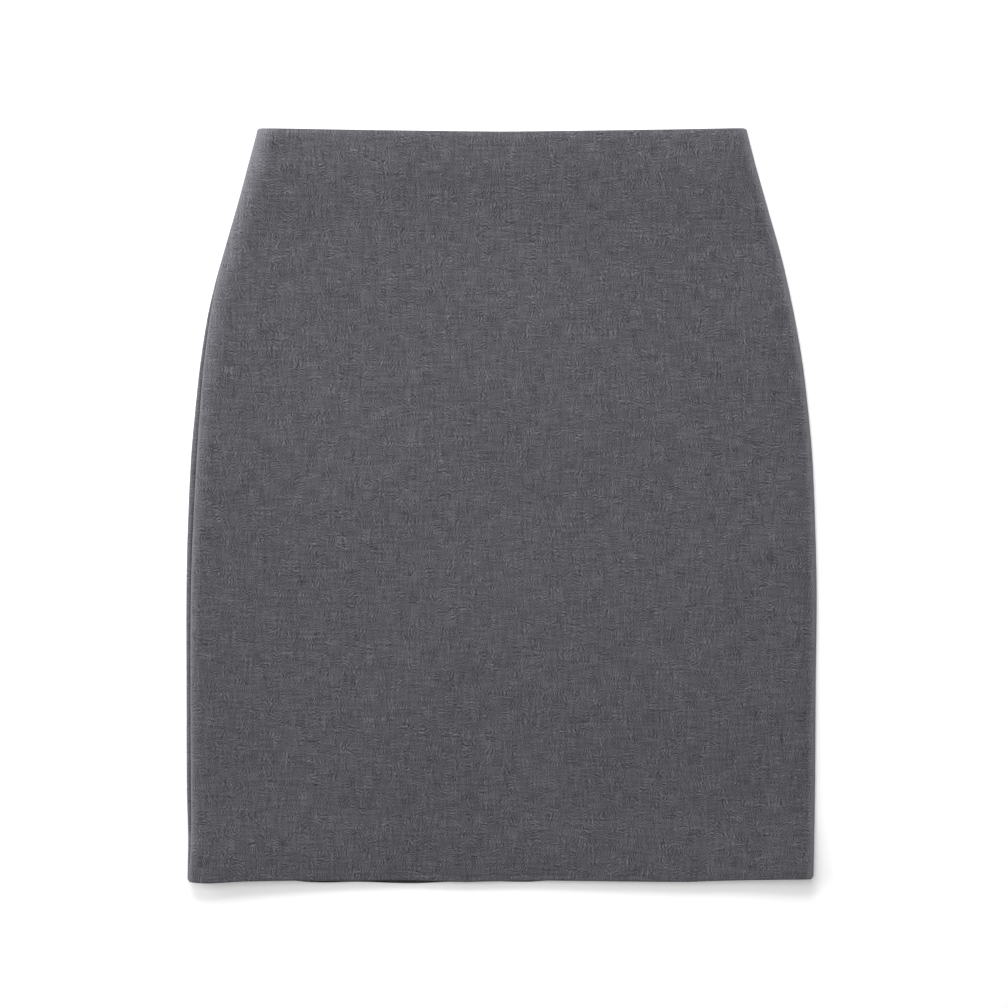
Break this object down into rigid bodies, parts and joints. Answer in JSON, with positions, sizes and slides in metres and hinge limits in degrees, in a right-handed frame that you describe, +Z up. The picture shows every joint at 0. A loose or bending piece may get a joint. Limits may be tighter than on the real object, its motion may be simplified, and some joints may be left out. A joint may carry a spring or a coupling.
{
  "type": "pencil skirt",
  "caption": "Straight knee-length pull-on skirt of thick heathered cloth, laid flat as a tube of a front and a back with turned waist and hem.",
  "frame": {"origin": "middle of the outline, on the surface that the skirt lies on", "axes": "+Z up out of the surface, +Y from the hem to the waist, +X to the right as seen from above"},
  "size_m": [0.4784, 0.5738, 0.011],
  "materials": {
    "front_cloth": "matt grey heathered double knit with a short nap",
    "back_cloth": "matt grey heathered double knit with a short nap"
  },
  "bodies": {
    "root": {"front_panel": "front_cloth", "back_panel": "back_cloth"}
  },
  "joints": []
}
